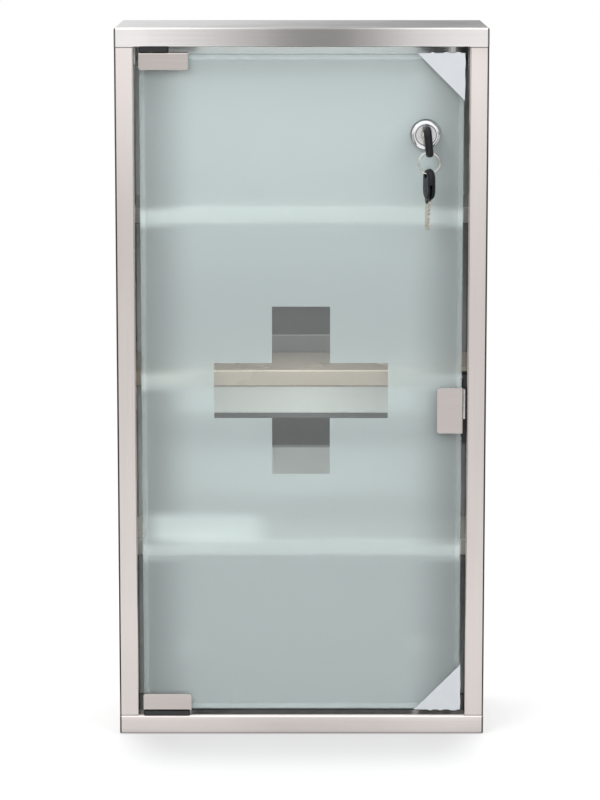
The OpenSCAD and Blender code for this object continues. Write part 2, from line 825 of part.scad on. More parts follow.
module ring_plate(y0, y1, r) {
    difference() {
        bar_y(y0, y1, r);
        bar_y(y0 - past, y1 + past, barrel_r + fixed_fit);
    }
}

// Plug with its face, keyway and square tail
module plug() {
    difference() {
        union() {
            bar_y(plug_y0, plug_y0 + plug_face_t, plug_face_r - face_step_w);
            bar_y(plug_y0 + face_step_d, plug_y0 + plug_face_t, plug_face_r);
            bar_y(plug_y0, barrel_y1, plug_r);
            along_y(barrel_y1, cam_y0 + cam_t) square(tail_w, center = true);
        }
        along_x(-key_t / 2 - key_fit, key_t / 2 + key_fit)
            translate([plug_y0 - past, -key_w / 2 - key_fit])
                square([key_len + past + 2 * key_fit, key_w + 2 * key_fit]);
        bar_y(cam_y0 + cam_t - cam_screw_depth - fixed_fit, cam_y0 + cam_t + past,
            cam_screw_r + fixed_fit);
    }
}

module cam() {
    along_y(cam_y0, cam_y0 + cam_t) difference() {
        union() {
            circle(cam_w * 0.7);
            translate([-cam_w / 2, -cam_len + cam_w / 2]) square([cam_w, cam_len - cam_w / 2]);
            translate([0, -cam_len + cam_w / 2]) circle(cam_w / 2);
        }
        square(tail_w + 2 * fixed_fit, center = true);
    }
}

module screw_of_cam() {
    y1 = cam_y0 + cam_t;
    bar_y(y1 - cam_screw_depth, y1, cam_screw_r);
    translate([0, y1, 0]) rotate([-90, 0, 0]) difference() {
        dome(cam_screw_head_r, cam_screw_head_h);
        for (a = [0, 90]) rotate(a) translate([-cam_screw_r, -0.4, cam_screw_head_h / 2])
            cube([2 * cam_screw_r, 0.8, cam_screw_head_h]);
    }
}

// Steel of a key in Y and Z: rivet end at the origin, blade towards +Y, bit cuts below
module key_outline() {
    tip = key_neck + key_len;
    difference() {
        union() {
            circle(knuckle_r);
            translate([0, -key_w / 2]) square([key_neck, key_w]);
            translate([key_neck * 0.6, -key_shoulder / 2]) square([key_neck * 0.4, key_shoulder]);
            polygon([
                [key_neck - past, -key_w / 2], [tip - key_w / 3, -key_w / 2], [tip, -key_w / 8],
                [tip, key_w / 8], [tip - key_w / 3, key_w / 2], [key_neck - past, key_w / 2]
            ]);
        }
        for (n = [0 : len(bit_depths) - 1])
            translate([tip - key_w / 2 - n * bit_pitch, -key_w / 2]) bit_cut(bit_depths[n]);
    }
}

// Flat-bottomed cut with sloping sides
module bit_cut(depth) {
    polygon([
        [-bit_floor / 2 - depth - past, -past], [bit_floor / 2 + depth + past, -past],
        [bit_floor / 2, depth], [-bit_floor / 2, depth]
    ]);
}

module key_steel() {
    difference() {
        along_x(-key_t / 2, key_t / 2) key_outline();
        bar_x(-key_t, key_t, fold_rivet_r + fold_fit);
    }
}

// Moulded collar round the neck, between the head and the shoulders' ends
module neck_collar() {
    x0 = head_x0 - collar_side;
    y0 = head_r + collar_gap;
    y1 = key_neck - collar_gap;
    difference() {
        intersection() {
            along_y(y0, y1) translate([x0, -collar_w / 2])
                soft_rect(head_t + collar_side, collar_w, head_round);
            along_x(x0, head_x0 + head_t) translate([y1, -collar_w / 2]) rotate(90)
                soft_base(collar_w, y1, (y1 - y0) * 0.9);
        }
        translate([-key_t / 2 - fixed_fit, y0 - past, -key_shoulder / 2 - fixed_fit])
            cube([key_t + 2 * fixed_fit, y1 - y0 + 2 * past, key_shoulder + 2 * fixed_fit]);
    }
}

// Moulded head: rivet at the origin, ring hole below, the steel's slot open from +Y to +Z
module key_bow() {
    difference() {
        translate([head_x0, 0, 0]) pill(head_t, head_r, head_drop, head_round);
        along_x(-key_t / 2 - head_fit, key_t / 2 + head_fit) {
            circle(knuckle_r + head_fit);
            translate([-knuckle_r - head_fit, 0]) square(head_len);
            translate([0, -knuckle_r - head_fit]) square(head_len);
        }
        bar_x(-head_t, 2 * head_t, fold_rivet_r + fixed_fit);
        translate([0, 0, loop_z]) bar_x(-head_t, 2 * head_t, loop_r);
    }
}

module key_pin() {
    bar_x(head_x0, head_x0 + head_t, fold_rivet_r);
    translate([head_x0, 0, 0]) rotate([0, -90, 0])
        dome(fold_rivet_head_r, fold_rivet_head_h);
    translate([head_x0 + head_t, 0, 0]) rotate([0, 90, 0])
        dome(fold_rivet_head_r, fold_rivet_head_h);
}

// The fold rivet of the key in the lock
module at_key() {
    at_plug() translate([0, fold_y, 0]) children();
}

// The fold rivet of the spare key, its ring hole above
module at_spare() {
    translate([loop_x - head_mid * cos(spare_yaw), fold_y - head_mid * sin(spare_yaw), spare_z])
        rotate([0, 0, spare_yaw]) rotate([180, 0, 0]) children();
}

module wire_ring() {
    translate([loop_x, fold_y, ring_z]) rotate([90, 0, 0])
        rotate_extrude($fn = 96) translate([ring_r, 0]) circle(ring_wire / 2, $fn = 24);
}

module top_panel() { color("silver") at_top() cap(); }
module bottom_panel() { color("silver") cap(); }
module left_side() { color("silver") side(); }
module right_side() {
    color("silver") difference() {
        mirror([1, 0, 0]) side();
        catch_screw_places() bar_x(-past, sheet_t + past, catch_screw_r + fixed_fit);
    }
}
module back_panel() { color("lightgray") back_plate(); }
module back_rivets() { color("gray") all_rivets() back_rivet(); }
module upper_shelf() { color("lightgray") shelf(upper_shelf_z); }
module middle_shelf() { color("lightgray") shelf(middle_shelf_z); }
module lower_shelf() { color("lightgray") shelf(lower_shelf_z); }
module shelf_studs() {
    color("gray") {
        left_studs() stud();
        mirror([1, 0, 0]) left_studs() stud();
    }
}
module upper_bush() { color("black") at_top() bush(upper_bush_len); }
module lower_bush() { color("black") bush(lower_bush_len); }
module catch_housing() { color("black") housing(); }
module catch_magnet() { color("dimgray") magnet(); }
module catch_poles() { color("lightgray") poles(); }
module catch_screws() { color("gray") catch_screw_places() catch_screw(); }
module door_glass() { color("powderblue", 0.5) pane(); }
module upper_clamp() { color("silver") at_top() clamp(); }
module lower_clamp() { color("silver") clamp(); }
module upper_pad() { color("black") at_top() pad(); }
module lower_pad() { color("black") pad(); }
module upper_pivot() { color("gray") at_top() pivot(); }
module lower_pivot() { color("gray") pivot(); }
module clamp_screws() {
    color("gray") {
        clamp_screw_places() clamp_screw();
        at_top() clamp_screw_places() clamp_screw();
    }
}
module striker_clip() { color("silver") striker(); }
module striker_liner() { color("white", 0.6) liner(); }
module upper_guard() { color("white") at_top() guard(); }
module lower_guard() { color("white") guard(); }
module lock_body() { color("gainsboro") at_lock() body_of_lock(); }
module lock_gasket() {
    color("black") at_lock() ring_plate(glass_y0 - gasket_t, glass_y0, bezel_r - gasket_t);
}
module lock_washer() {
    color("gray") at_lock() ring_plate(glass_y1, glass_y1 + washer_t, washer_r);
}
module lock_nut() { color("gray") at_lock() nut_of_lock(); }
module lock_plug() { color("gainsboro") at_plug() plug(); }
module lock_cam() { color("gray") at_plug() cam(); }
module cam_screw() { color("gray") at_plug() screw_of_cam(); }
module key_blade() { color("lightgray") at_key() key_steel(); }
module key_collar() { color("black") at_key() neck_collar(); }
module key_head() { color("black") at_key() key_bow(); }
module key_rivet() { color("lightgray") at_key() key_pin(); }
module key_ring() { color("silver") wire_ring(); }
module spare_blade() { color("lightgray") at_spare() rotate([90, 0, 0]) key_steel(); }
module spare_collar() { color("black") at_spare() rotate([90, 0, 0]) neck_collar(); }
module spare_head() { color("black") at_spare() key_bow(); }
module spare_rivet() { color("lightgray") at_spare() key_pin(); }

top_panel();
bottom_panel();
left_side();
right_side();
back_panel();
back_rivets();
upper_shelf();
middle_shelf();
lower_shelf();
shelf_studs();
upper_bush();
lower_bush();
catch_housing();
catch_magnet();
catch_poles();
catch_screws();
door_glass();
upper_clamp();
lower_clamp();
upper_pad();
lower_pad();
upper_pivot();
lower_pivot();
clamp_screws();
striker_clip();
striker_liner();
upper_guard();
lower_guard();
lock_body();
lock_gasket();
lock_washer();
lock_nut();
lock_plug();
lock_cam();
cam_screw();
key_blade();
key_collar();
key_head();
key_rivet();
key_ring();
spare_blade();
spare_collar();
spare_head();
spare_rivet();
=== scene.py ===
import json
import math

import bpy
import bmesh
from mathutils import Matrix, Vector


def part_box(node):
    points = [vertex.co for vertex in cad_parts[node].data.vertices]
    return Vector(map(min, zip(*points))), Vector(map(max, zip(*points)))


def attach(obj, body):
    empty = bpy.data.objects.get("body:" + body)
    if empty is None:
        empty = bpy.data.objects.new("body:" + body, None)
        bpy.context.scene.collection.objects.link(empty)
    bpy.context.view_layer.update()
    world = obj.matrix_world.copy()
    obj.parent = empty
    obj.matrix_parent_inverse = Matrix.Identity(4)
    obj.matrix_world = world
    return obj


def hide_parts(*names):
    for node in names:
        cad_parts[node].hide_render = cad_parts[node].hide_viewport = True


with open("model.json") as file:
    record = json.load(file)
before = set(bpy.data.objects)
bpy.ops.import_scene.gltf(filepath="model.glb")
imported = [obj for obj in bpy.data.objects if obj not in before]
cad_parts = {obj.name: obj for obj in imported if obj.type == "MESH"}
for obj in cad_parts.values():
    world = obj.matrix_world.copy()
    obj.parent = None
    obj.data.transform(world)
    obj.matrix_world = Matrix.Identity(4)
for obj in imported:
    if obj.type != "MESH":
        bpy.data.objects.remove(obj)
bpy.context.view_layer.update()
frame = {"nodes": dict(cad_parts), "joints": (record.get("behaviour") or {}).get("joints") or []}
cadNodes = frame["nodes"]
scene = bpy.context.scene
mm = 0.001    # the frame is in metres

# How soft the edge of a painted area is
hairEdge = 0.0001
fineEdge = 0.0002
softEdge = 0.0003


def middleOf(name):
    low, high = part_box(name)
    return (low + high) / 2


def jointPlace(name):
    for joint in frame["joints"]:
        if joint["name"] == name:
            return Vector(joint["pos_m"])


# Small helpers for node trees
def newTree(name):
    mat = bpy.data.materials.new(name)
    mat.use_nodes = True
    tree = mat.node_tree
    tree.nodes.clear()
    return mat, tree


def addNode(tree, kind, sockets=None, **settings):
    node = tree.nodes.new(kind)
    for key, value in settings.items():
        setattr(node, key, value)
    for key, value in (sockets or {}).items():
        if isinstance(value, bpy.types.NodeSocket):
            tree.links.new(value, node.inputs[key])
        else:
            node.inputs[key].default_value = value
    return node


def calc(tree, operation, a, b=0.0):
    return addNode(tree, "ShaderNodeMath", {0: a, 1: b}, operation=operation).outputs[0]


def product(tree, first, *others):
    for other in others:
        first = calc(tree, "MULTIPLY", first, other)
    return first


def sizeOf(tree, value):
    return calc(tree, "ABSOLUTE", value)


# The first value where the amount is 0, the second where it is 1
def either(tree, amount, first, second):
    return addNode(tree, "ShaderNodeMix", {0: amount, 2: first, 3: second}).outputs[0]


def eitherColour(tree, amount, first, second):
    sockets = {0: amount, 6: first, 7: second}
    return addNode(tree, "ShaderNodeMix", sockets, data_type="RGBA").outputs[2]


def ramp(tree, value, low, high, outLow=0.0, outHigh=1.0):
    sockets = {"Value": value, "From Min": low, "From Max": high, "To Min": outLow, "To Max": outHigh}
    return addNode(tree, "ShaderNodeMapRange", sockets, interpolation_type="SMOOTHSTEP").outputs[0]


def stepUp(tree, value, edge, soft=0.0004):
    return ramp(tree, value, edge - soft, edge + soft)


def stepDown(tree, value, edge, soft=0.0004):
    return ramp(tree, value, edge - soft, edge + soft, 1.0, 0.0)


def between(tree, value, low, high, soft=0.0004):
    return product(tree, stepUp(tree, value, low, soft), stepDown(tree, value, high, soft))


def within(tree, value, centre, half, soft):
    return stepDown(tree, sizeOf(tree, calc(tree, "SUBTRACT", value, centre)), half, soft)


# A smooth curve that follows (place, level) stops, where place runs from 0 at low to 1 at high
def levels(tree, value, low, high, stops):
    sockets = {"Value": value, "From Min": low, "From Max": high}
    share = addNode(tree, "ShaderNodeMapRange", sockets).outputs[0]
    node = addNode(tree, "ShaderNodeValToRGB", {0: share})
    band = node.color_ramp
    band.interpolation = "B_SPLINE"
    while len(band.elements) < len(stops):
        band.elements.new(0.5)
    peak = max(level for place, level in stops)    # a smooth ramp holds nothing above 1
    for element, (place, level) in zip(band.elements, stops):
        element.position = place
        element.color = (level / peak, level / peak, level / peak, 1)
    return product(tree, node.outputs[0], peak)


def scaled(tree, colour, factor):
    if not isinstance(colour, bpy.types.NodeSocket):
        colour = tuple(colour[:3])
    return addNode(tree, "ShaderNodeVectorMath", {0: colour, 3: factor}, operation="SCALE").outputs[0]


def dimmed(colour, factor):
    return tuple(min(1.0, c * factor) for c in colour[:3]) + (1,)


def axesOf(tree):
    coord = addNode(tree, "ShaderNodeTexCoord").outputs["Object"]
    return addNode(tree, "ShaderNodeSeparateXYZ", {0: coord}).outputs[:3]


def noiseAt(tree, scale, detail=3.0, stretch=(1, 1, 1)):
    coord = addNode(tree, "ShaderNodeTexCoord").outputs["Object"]
    place = addNode(tree, "ShaderNodeMapping", {"Vector": coord, "Scale": stretch}).outputs[0]
    sockets = {"Vector": place, "Scale": scale, "Detail": detail, "Roughness": 0.5}
    return addNode(tree, "ShaderNodeTexNoise", sockets).outputs["Fac"]


def bumpFrom(tree, height, strength, distance):
    sockets = {"Height": height, "Strength": strength, "Distance": distance}
    return addNode(tree, "ShaderNodeBump", sockets).outputs[0]


def principled(tree, **sockets):
    named = {key.replace("_", " "): value for key, value in sockets.items()}
    return addNode(tree, "ShaderNodeBsdfPrincipled", named).outputs[0]


def endWith(mat, tree, shader):
    out = addNode(tree, "ShaderNodeOutputMaterial")
    tree.links.new(shader, out.inputs["Surface"])
    return mat


def dress(names, mat):
    for name in names:
        materials = cadNodes[name].data.materials
        materials.clear()
        materials.append(mat)


# The camera looks a little down at the front
viewSet = {"focal": 145.64, "pitch": 9.448, "aside": -0.0013, "ahead": 2.6371, "height": 0.7230}


def setCamera():
    s = viewSet
    data = bpy.data.cameras.new("studioCamera")
    data.lens = s["focal"]
    data.clip_end = 100
    camera = bpy.data.objects.new("studioCamera", data)
    camera.location = (s["aside"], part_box("top_panel")[0].y - s["ahead"], s["height"])
    camera.rotation_euler = (math.radians(90 - s["pitch"]), 0, 0)
    scene.collection.objects.link(camera)
    bpy.context.scene.camera = camera


# Levels of light that the studio's parts share
studioSet = {
    "worldLevel": 0.75,
    "throughLevel": 1.9,     # what is seen through glass is brighter
    "besideLevel": 0.5,      # beside the cabinet, behind its front
}

floorSet = {
    "size": 60,
    "drop": 0.0005,          # keeps the base clear of the floor
    "albedo": 0.40,
    "glow": 0.55,            # own light near the cabinet, 1 far away
    "nearReach": (0.5, 1.5),
    "mirrorHalf": (0.2, 0.34),    # half width of the bright strip that steel mirrors
    "mirrorSpread": 0.09,
    "leastSpread": -0.02,
    "besideTurn": (-0.05, 0.15),
    "besideDark": 0.03,
    "wideFrom": (0.3, 0.55),
    "wideSpread": 0.2,
    "wideLevel": 0.55,
    "pool": 0.2,             # contact shade at the base
    "poolSide": (0.105, 0.175),
    "poolFront": (-0.225, -0.065),
    "poolBack": (0.0, 0.08),
}


def floorPaint():
    s = floorSet
    mat, tree = newTree("floorWhite")
    x, y = axesOf(tree)[:2]
    rays = addNode(tree, "ShaderNodeLightPath").outputs
    toCamera, inGloss, inGlass = rays["Is Camera Ray"], rays["Is Glossy Ray"], rays["Is Transmission Ray"]
    coord = addNode(tree, "ShaderNodeTexCoord").outputs["Object"]
    away = addNode(tree, "ShaderNodeVectorMath", {0: coord}, operation="LENGTH").outputs["Value"]
    near = ramp(tree, away, *s["nearReach"], 1.0, 0.0)
    aside = sizeOf(tree, x)

    # Steel mirrors a bright strip in front, and a duller floor to the sides
    spread = calc(tree, "MAXIMUM", product(tree, y, -s["mirrorSpread"]), s["leastSpread"])
    dull = ramp(tree, y, *s["besideTurn"], s["besideDark"], studioSet["besideLevel"])
    strip = ramp(tree, calc(tree, "SUBTRACT", aside, spread), *s["mirrorHalf"], 1.0, dull)
    wide = calc(tree, "SUBTRACT", aside, product(tree, sizeOf(tree, y), s["wideSpread"]))
    strip = calc(tree, "MAXIMUM", strip, ramp(tree, wide, *s["wideFrom"], 0.0, s["wideLevel"]))
    strip = either(tree, toCamera, strip, 1.0)

    beside = ramp(tree, aside, *s["poolSide"], 1.0, 0.0)
    ahead = product(tree, ramp(tree, y, *s["poolFront"]), ramp(tree, y, *s["poolBack"], 1.0, 0.0))
    pool = ramp(tree, product(tree, beside, ahead, toCamera), 0.0, 1.0, 1.0, 1 - s["pool"])

    level = product(tree, ramp(tree, near, 0.0, 1.0, 1.0, s["glow"]), strip, pool,
                    ramp(tree, inGlass, 0.0, 1.0, 1.0, studioSet["throughLevel"]))
    albedo = product(tree, near, s["albedo"], pool, strip)
    glow = addNode(tree, "ShaderNodeEmission", {"Color": (1, 1, 1, 1), "Strength": level}).outputs[0]
    matt = addNode(tree, "ShaderNodeBsdfDiffuse", {"Color": albedo}).outputs[0]
    shown = addNode(tree, "ShaderNodeAddShader", {0: matt, 1: glow}).outputs[0]
    plain = addNode(tree, "ShaderNodeBsdfDiffuse", {"Color": (0.8, 0.8, 0.8, 1)}).outputs[0]
    seen = calc(tree, "MAXIMUM", toCamera, calc(tree, "MAXIMUM", inGloss, inGlass))
    shader = addNode(tree, "ShaderNodeMixShader", {0: seen, 1: plain, 2: shown}).outputs[0]
    return endWith(mat, tree, shader)


def setFloor():
    half = floorSet["size"] / 2
    mesh = bpy.data.meshes.new("studioFloor")
    corners = [(-half, -half, 0), (half, -half, 0), (half, half, 0), (-half, half, 0)]
    mesh.from_pydata(corners, [], [(0, 1, 2, 3)])
    mesh.materials.append(floorPaint())
    floor = bpy.data.objects.new("studioFloor", mesh)
    floor.location.z = -floorSet["drop"]
    scene.collection.objects.link(floor)


# What steel mirrors above the floor
mirrorSet = {
    "wallTurn": (-0.35, 0.25),    # from in front of the cabinet to behind it
    "horizon": (0.02, 0.16),
    "besideTurn": (-0.1, 0.3),
    "besideDark": 0.05,
    "frontToBack": (0.35, 0.74),
    "leftEdge": (-0.85, -0.5),
    "rightEdge": (0.3, 0.6),
    "aboveLean": 0.7,        # the lit part overhead leans to the left
    "aboveFrom": (0.3, 0.75),
    "aboveLevel": 0.95,
    "facingLevel": 0.85,     # behind the camera
    "facingTurn": (-0.5, -0.2),
    "facingFrom": (0.02, 0.12),
}


def setWorld():
    s = mirrorSet
    world = bpy.data.worlds.new("studioWorld")
    scene.world = world
    world.use_nodes = True
    tree = world.node_tree
    tree.nodes.clear()
    rays = addNode(tree, "ShaderNodeLightPath").outputs
    way = addNode(tree, "ShaderNodeTexCoord").outputs["Generated"]
    x, y, z = addNode(tree, "ShaderNodeSeparateXYZ", {0: way}).outputs[:3]

    horizon = ramp(tree, z, *s["horizon"], 1.0, 0.0)
    wall = calc(tree, "MAXIMUM", ramp(tree, y, *s["wallTurn"], *s["frontToBack"]), horizon)
    dull = ramp(tree, y, *s["besideTurn"], s["besideDark"], studioSet["besideLevel"])
    left = ramp(tree, x, *s["leftEdge"], dull, 1.0)
    right = ramp(tree, x, *s["rightEdge"], 1.0, dull)
    lean = calc(tree, "SUBTRACT", z, product(tree, x, s["aboveLean"]))
    above = ramp(tree, lean, *s["aboveFrom"], 0.0, s["aboveLevel"])
    facing = product(tree, ramp(tree, y, *s["facingTurn"], s["facingLevel"], 0.0),
                     ramp(tree, z, *s["facingFrom"]))
    mirror = calc(tree, "ADD", product(tree, wall, left, right), calc(tree, "MAXIMUM", above, facing))

    strength = either(tree, rays["Is Glossy Ray"], studioSet["worldLevel"], mirror)
    strength = either(tree, rays["Is Transmission Ray"], strength, studioSet["throughLevel"])
    strength = either(tree, rays["Is Camera Ray"], strength, 1.0)
    glow = addNode(tree, "ShaderNodeBackground", {"Color": (1, 1, 1, 1), "Strength": strength}).outputs[0]
    out = addNode(tree, "ShaderNodeOutputWorld")
    tree.links.new(glow, out.inputs["Surface"])


lampSet = {
    "key": {"place": (-1.3, -1.9, 2.3), "size": 1.6, "power": 34},
    "fill": {"place": (1.6, -1.5, 1.8), "size": 1.8, "power": 16},
    "top": {"place": (0.0, 0.75, 2.6), "size": 1.8, "power": 30},
}


def setLamps():
    aim = Vector((0, 0, 0.3))
    for name, s in lampSet.items():
        data = bpy.data.lights.new(name + "Lamp", "AREA")
        data.shape = "DISK"
        data.size = s["size"]
        data.energy = s["power"]
        lamp = bpy.data.objects.new(name + "Lamp", data)
        lamp.location = s["place"]
        lamp.visible_glossy = False    # no lamp shows in the folds
        lamp.rotation_euler = (aim - Vector(s["place"])).to_track_quat("-Z", "Y").to_euler()
        scene.collection.objects.link(lamp)


setCamera()
setFloor()
setWorld()
setLamps()
print("studio set")


# Satin stainless sheet: brush lines, faint clouds, and painted light and shade that lie along the sheet
sheetSet = {
    "rough": 0.15,
    "grainScale": 700,
    "grainStretch": 0.012,    # the smaller, the longer the brush lines
    "grainShare": 0.35,
    "smudgeScale": 7,
    "cloudFrom": (0.36, 0.64),
    "smudgeFrom": (0.3, 0.75),
    "roughBy": (0.8, 1.25),
    "grainStrength": 0.05,
    "grainDepth": 0.00001,
    "cloud": 0.06,            # how much darker a cloud is
}


def satinSheet(name, colour, grainAlong, paintedLight=None, rough=None, metal=1.0, paintedReflection=None, cloud=None):
    s = sheetSet
    mat, tree = newTree(name)
    stretch = [s["grainStretch"] if axis == grainAlong else 1.0 for axis in "xyz"]
    grain = noiseAt(tree, s["grainScale"], 2.0, stretch)
    smudge = noiseAt(tree, s["smudgeScale"])
    lines = product(tree, grain, s["grainShare"])
    mottle = calc(tree, "ADD", lines, product(tree, smudge, 1 - s["grainShare"]))
    darker = dimmed(colour, 1 - (s["cloud"] if cloud is None else cloud))
    colourOut = eitherColour(tree, ramp(tree, mottle, *s["cloudFrom"]), darker, colour)
    if paintedLight:
        colourOut = scaled(tree, colourOut, paintedLight(tree))
    if callable(rough):
        rough = rough(tree)
    if callable(metal):
        metal = metal(tree)
    if rough is None:
        rough = s["rough"]
    roughOut = product(tree, ramp(tree, smudge, *s["smudgeFrom"], *s["roughBy"]), rough)
    fine = bumpFrom(tree, grain, s["grainStrength"], s["grainDepth"])
    sockets = {"Base_Color": colourOut, "Metallic": metal, "Roughness": roughOut, "Normal": fine}
    if paintedReflection:
        sockets["Specular_Tint"] = scaled(tree, (1, 1, 1), paintedReflection(tree))
    return endWith(mat, tree, principled(tree, **sockets))


# A front flange's outer edge is rolled back; a painted dark reflection lies along it
foldSet = {"wide": 0.0014, "deep": 0.0014, "dark": 0.18}


def outerFold(tree, x, y, half, frontY):
    s = foldSet
    rolled = product(tree, stepUp(tree, sizeOf(tree, x), half - s["wide"], fineEdge),
                     stepDown(tree, y, frontY + s["deep"], fineEdge))
    return ramp(tree, rolled, 0.0, 1.0, 1.0, s["dark"])


# Painted light on the top panel: its steel colour is a lighter copy of the sides' steel, with a painted dark
# reflection band across the front flange and painted shade towards the right of the top face and on its
# underside
topSet = {
    "colour": (0.87, 0.84, 0.83, 1),
    "flange": [(0.0, 1.1), (0.1, 1.1), (0.4, 0.4), (0.55, 0.3), (0.65, 0.35), (0.8, 0.8), (1.0, 1.1)],
    "face": [(0.0, 1.0), (0.2, 0.85), (0.42, 0.5), (0.58, 0.25), (0.75, 0.08), (1.0, 0.1)],
    # painted reflection: the top face mirrors less towards its right end
    "grazing": [(0.0, 1.0), (0.45, 0.65), (0.7, 0.3), (0.8, 0.1), (0.9, 0.1), (1.0, 0.3)],
    "inside": 0.6,
    "frontDepth": 0.0012,     # from the front to where the top face begins
    "underDown": 0.0008,
    "foldDown": 0.0011,
    "foldMetal": 0.15,
}


# Painted light and shade on the top panel, its flange and its underside
def topPaintedLight(tree):
    s = topSet
    x, y, z = axesOf(tree)
    low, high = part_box("top_panel")
    onFace = stepUp(tree, y, low.y + s["frontDepth"], softEdge)
    flange = levels(tree, x, low.x, high.x, s["flange"])
    face = levels(tree, x, low.x, high.x, s["face"])
    outside = product(tree, either(tree, onFace, flange, face), outerFold(tree, x, y, high.x, low.y))
    below = stepDown(tree, z, high.z - s["underDown"], hairEdge)
    return either(tree, product(tree, below, onFace), outside, s["inside"])


# Painted reflection on the top panel, weaker towards its right end
def topPaintedReflection(tree):
    x = axesOf(tree)[0]
    low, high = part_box("top_panel")
    return levels(tree, x, low.x, high.x, topSet["grazing"])


# The front fold is made less metallic, so that the light shows on it as a bright line: a painted highlight
def topMetal(tree):
    s = topSet
    y, z = axesOf(tree)[1:]
    low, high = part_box("top_panel")
    fold = product(tree, stepUp(tree, z, high.z - s["foldDown"], fineEdge),
                   stepDown(tree, y, low.y + s["frontDepth"], fineEdge))
    return ramp(tree, fold, 0.0, 1.0, 1.0, s["foldMetal"])


# Painted light on the bottom panel: painted reflection levels across the flange, painted shade at its lower
# edge, a painted highlight at its top fold and painted light on its inside top
bottomSet = {
    "colour": (0.67, 0.615, 0.595, 1),
    "flange": [(0.0, 1.0), (0.15, 1.15), (0.35, 0.95), (0.6, 0.9), (0.9, 1.1), (1.0, 0.95)],
    "rise": [(0.0, 0.3), (0.06, 0.5), (0.1, 0.93), (0.5, 0.97), (0.9, 1.0), (0.94, 1.5), (1.0, 1.6)],
    "inside": 1.5,
    "insideDown": 0.0007,
    "insideFrom": 0.0015,
    "foldDown": 0.0012,
    "foldBack": 0.0044,
    "foldSoft": 0.0004,
    "foldMetal": 0.15,
}


# Painted light and shade on the bottom panel's flange and inside top
def bottomPaintedLight(tree):
    s = bottomSet
    x, y, z = axesOf(tree)
    low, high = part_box("bottom_panel")
    flange = levels(tree, x, low.x, high.x, s["flange"])
    rise = levels(tree, z, low.z, high.z, s["rise"])
    front = product(tree, flange, rise, outerFold(tree, x, y, high.x, low.y))
    onTop = product(tree, stepUp(tree, z, high.z - s["insideDown"], fineEdge),
                    stepUp(tree, y, low.y + s["insideFrom"], softEdge))
    return either(tree, onTop, front, s["inside"])


# The top fold is made less metallic, so that the light shows on it as a bright line: a painted highlight
def bottomMetal(tree):
    s = bottomSet
    y, z = axesOf(tree)[1:]
    low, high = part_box("bottom_panel")
    fold = product(tree, stepUp(tree, z, high.z - s["foldDown"], fineEdge),
                   stepDown(tree, y, low.y + s["foldBack"], s["foldSoft"]))
    return ramp(tree, fold, 0.0, 1.0, 1.0, s["foldMetal"])


sideSet = {
    "colour": (0.685, 0.63, 0.61, 1),
    "left": [(0.0, 1.0), (0.6, 0.97), (0.75, 0.95), (0.87, 1.25), (1.0, 1.4)],    # painted light, brighter towards the top
    "right": [(0.0, 0.95), (0.6, 0.95), (0.75, 1.05), (0.9, 1.3), (0.97, 1.4), (1.0, 1.0)],
    "wallInside": 1.0,
    "wallFrom": (0.008, 0.0007),    # the wall's inner face, in from the outside
    "wallDepth": 0.0012,
    "seam": 0.35,             # painted shade in the joint between a side and a cap
    "seamWide": (0.0007, 0.0008),
}


# Painted light and shade on the stiles: brighter towards the top, painted shade at the joints with the caps
# and a painted dark reflection along the outer fold
def sidePaintedLight(tree):
    s = sideSet
    x, y, z = axesOf(tree)
    low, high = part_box("right_side")
    left = levels(tree, z, low.z, high.z, s["left"])
    right = levels(tree, z, low.z, high.z, s["right"])
    stile = either(tree, calc(tree, "GREATER_THAN", x, 0.0), left, right)
    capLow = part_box("bottom_panel")[1].z + s["seamWide"][0]
    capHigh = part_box("top_panel")[0].z - s["seamWide"][1]
    clear = between(tree, z, capLow, capHigh, softEdge)
    seam = ramp(tree, clear, 0.0, 1.0, s["seam"], 1.0)
    stile = product(tree, stile, seam, outerFold(tree, x, y, high.x, low.y))
    wallLow, wallHigh = [high.x - inset for inset in s["wallFrom"]]
    wall = product(tree, between(tree, sizeOf(tree, x), wallLow, wallHigh, hairEdge),
                   stepUp(tree, y, low.y + s["wallDepth"], softEdge))
    return either(tree, wall, stile, s["wallInside"])


# Behind the clear cross the back panel's inner face shows soft bands of painted reflection, from the shelves
# in front of it
backSet = {
    "colour": (0.70, 0.71, 0.70, 1),
    "cloud": 0.02,
    # painted shade up the inner face, darkest in its middle, and painted light in the strip above the glass
    "column": [(0.0, 0.30), (0.25, 0.22), (0.5, 0.16), (0.7, 0.22), (0.88, 0.30), (0.93, 1.3), (1.0, 1.36)],
    # bottom, top and level of each painted reflection band
    "bands": [(0.252, 0.292, 2.15), (0.2475, 0.252, 0.27), (0.2235, 0.2475, 0.02), (0.2215, 0.2235, 0.3),
              (0.18, 0.2215, 0.83), (0.304, 0.3185, 0.25), (0.319, 0.3204, 0.44), (0.3205, 0.3365, 0.07),
              (0.3365, 0.375, 0.045)],
    "bandHalf": (0.10, 0.13),
    "channelLeft": 1.03,      # painted light beside the glass; the right side is painted darker
    "channelRight": 0.5,
    "outside": 1.15,
    "brightFrom": (0.548, 0.556),    # the strip above the glass is glossier
    "rough": (0.42, 0.16),
    "metal": (0.13, 1.0),
    "outsideRough": 0.18,
    "sheetThick": 0.0005,
    "bandSoft": 0.0006,
    "behindFrame": 0.001,     # how far the side channels reach behind the glass
}


def backOutside(tree, y):
    return stepUp(tree, y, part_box("back_panel")[0].y + backSet["sheetThick"], fineEdge)


